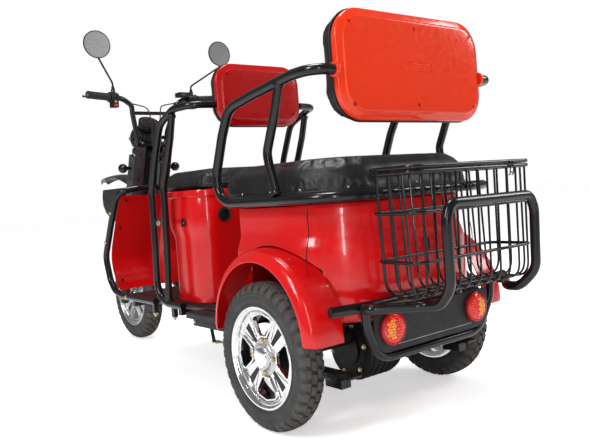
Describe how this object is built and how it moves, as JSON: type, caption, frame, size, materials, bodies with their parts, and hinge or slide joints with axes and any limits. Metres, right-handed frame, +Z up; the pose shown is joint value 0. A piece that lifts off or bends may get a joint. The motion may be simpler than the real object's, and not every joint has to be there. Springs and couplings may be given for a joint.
{
  "type": "electric passenger tricycle",
  "caption": "Electric passenger tricycle with a steered front wheel, driver's seat with backrest and guards, rear bench with arm rests, wire luggage basket and lamps.",
  "frame": {"origin": "on the ground at the middle of the vehicle's length and width", "axes": "+X to the rider's left, -Y forward, +Z up"},
  "size_m": [0.79, 2.4136, 1.364],
  "materials": {
    "red_paint": "high gloss red",
    "red_plastic": "high gloss orange-red",
    "black_tube": "gloss black enamel on steel tube",
    "black_plastic": "satin black",
    "grey_plastic": "satin grey",
    "mat_rubber": "ribbed rubber mat",
    "leather": "grained black PU leather",
    "tyre": "dull black",
    "grip_rubber": "ribbed",
    "alloy": "polished with black painted recesses",
    "zinc": "yellow passivated zinc",
    "lamp": "clear red and amber lens",
    "mirror": "mirror glass in a black shell",
    "cable": "black sheath"
  },
  "bodies": {
    "frame": {"main_frame": "black_tube", "leg_shield_frame": "black_tube", "leg_shield": "red_paint", "floor_mat": "mat_rubber", "step_board": "grey_plastic", "driver_guard_left": "black_tube", "driver_guard_right": "black_tube", "driver_seat_box": "red_paint", "driver_backrest_shell": "red_plastic", "driver_backrest_cushion": "leather", "charging_port": "black_plastic", "passenger_body": "red_paint", "battery_box": "black_plastic", "passenger_backrest_shell": "red_plastic", "passenger_backrest_cushion": "leather", "arm_rest_left": "black_tube", "arm_rest_right": "black_tube", "seat_hoop": "black_tube", "fender_left": "red_paint", "fender_right": "red_paint", "basket": "black_tube", "rear_cross_tube": "black_tube", "rear_bumper": "black_tube", "tail_plate": "black_plastic", "tail_light_left": "lamp", "tail_light_right": "lamp"},
    "driver_seat": {"driver_cushion": "leather"},
    "passenger_seat": {"passenger_cushion": "leather"},
    "latch": {"seat_latch": "black_plastic"},
    "lid": {"basket_lid": "black_tube"},
    "axle": {"rear_axle": "black_plastic", "leaf_spring_left": "black_plastic", "leaf_spring_right": "black_plastic"},
    "wheel_left": {"tyre_rear_left": "tyre", "rim_rear_left": "alloy"},
    "wheel_right": {"tyre_rear_right": "tyre", "rim_rear_right": "alloy"},
    "steering": {"fork_crown": "black_tube", "fork_cover": "grey_plastic", "turn_signal_left": "black_plastic", "turn_signal_right": "black_plastic", "headlight": "black_plastic", "instrument": "black_plastic", "front_mudguard": "black_plastic", "front_cowl": "black_plastic", "handlebar": "black_tube", "grip_left": "grip_rubber", "switch_pod_left": "black_plastic", "switch_pod_right": "black_plastic", "brake_cables": "cable"},
    "fork_lower": {"fork_sliders": "black_tube"},
    "wheel_front": {"tyre_front": "tyre", "rim_front": "alloy"},
    "throttle": {"throttle_grip": "grip_rubber"},
    "lever_left": {"brake_lever_left": "zinc"},
    "lever_right": {"brake_lever_right": "zinc"},
    "mirror_left": {"mirror_left": "mirror"},
    "mirror_right": {"mirror_right": "mirror"},
    "pedal": {"brake_pedal": "black_tube"},
    "rod": {"brake_rod": "zinc"}
  },
  "joints": [
    {"name": "steering", "type": "hinge", "parent": "frame", "child": "steering", "pos_m": [0, -0.65066, 0.75036], "axis": [0, 0.3535, 0.9354], "range_deg": [-38, 38]},
    {"name": "fork_travel", "type": "slide", "parent": "steering", "child": "fork_lower", "axis": [0, 0.3535, 0.9354], "range_m": [0, 0.045], "stiffness_N_per_m": 9000, "springref_m": -0.07},
    {"name": "front_wheel", "type": "hinge", "parent": "fork_lower", "child": "wheel_front", "pos_m": [0, -0.90484, 0.205], "axis": [1, 0, 0], "continuous": true},
    {"name": "axle_travel", "type": "slide", "parent": "frame", "child": "axle", "axis": [0, 0, 1], "range_m": [0, 0.03], "stiffness_N_per_m": 45000, "springref_m": -0.06},
    {"name": "left_wheel", "type": "hinge", "parent": "axle", "child": "wheel_left", "pos_m": [0.339, 0.67516, 0.205], "axis": [1, 0, 0], "continuous": true},
    {"name": "right_wheel", "type": "hinge", "parent": "axle", "child": "wheel_right", "pos_m": [-0.339, 0.67516, 0.205], "axis": [1, 0, 0], "continuous": true},
    {"name": "throttle_twist", "type": "hinge", "parent": "steering", "child": "throttle", "pos_m": [-0.212, -0.57084, 1.109], "axis": [-0.9558, 0.2934, 0.0189], "range_deg": [0, 60], "stiffness_Nm_per_rad": 0.08, "springref_deg": -11.46},
    {"name": "brake_lever_left_squeeze", "type": "hinge", "parent": "steering", "child": "lever_left", "pos_m": [0.18715, -0.61847, 1.10851], "axis": [0, 0, 1], "range_deg": [0, 8], "stiffness_Nm_per_rad": 1, "springref_deg": -2.86},
    {"name": "mirror_left_swivel", "type": "hinge", "parent": "steering", "child": "mirror_left", "pos_m": [0.18906, -0.57788, 1.15855], "axis": [0, 0, 1], "range_deg": [-30, 30]},
    {"name": "brake_lever_right_squeeze", "type": "hinge", "parent": "steering", "child": "lever_right", "pos_m": [-0.18715, -0.61847, 1.10851], "axis": [0, 0, -1], "range_deg": [0, 8], "stiffness_Nm_per_rad": 1, "springref_deg": -2.86},
    {"name": "mirror_right_swivel", "type": "hinge", "parent": "steering", "child": "mirror_right", "pos_m": [-0.18906, -0.57788, 1.15855], "axis": [0, 0, 1], "range_deg": [-30, 30]},
    {"name": "pedal_press", "type": "hinge", "parent": "frame", "child": "pedal", "pos_m": [0, -0.02484, 0.222], "axis": [1, 0, 0], "range_deg": [0, 8], "stiffness_Nm_per_rad": 60, "springref_deg": -6.88},
    {"name": "rod_push", "type": "slide", "parent": "frame", "child": "rod", "axis": [0, 1, 0], "range_m": [0, 0.018]},
    {"name": "driver_seat_lift", "type": "hinge", "parent": "frame", "child": "driver_seat", "pos_m": [0, -0.17084, 0.684], "axis": [1, 0, 0], "range_deg": [0, 75]},
    {"name": "passenger_seat_lift", "type": "hinge", "parent": "frame", "child": "passenger_seat", "pos_m": [0, 0.96116, 0.652], "axis": [1, 0, 0], "range_deg": [-30, 0]},
    {"name": "latch_turn", "type": "hinge", "parent": "frame", "child": "latch", "pos_m": [0.25, 0.08316, 0.568], "axis": [1, 0, 0], "range_deg": [0, 90]},
    {"name": "basket_lid_lift", "type": "hinge", "parent": "frame", "child": "lid", "pos_m": [0, 1.00116, 0.688], "axis": [1, 0, 0], "range_deg": [0, 85]}
  ],
  "couplings": [
    {"joint": "rod_push", "follows": "pedal_press", "m_per_rad": 0.118}
  ]
}
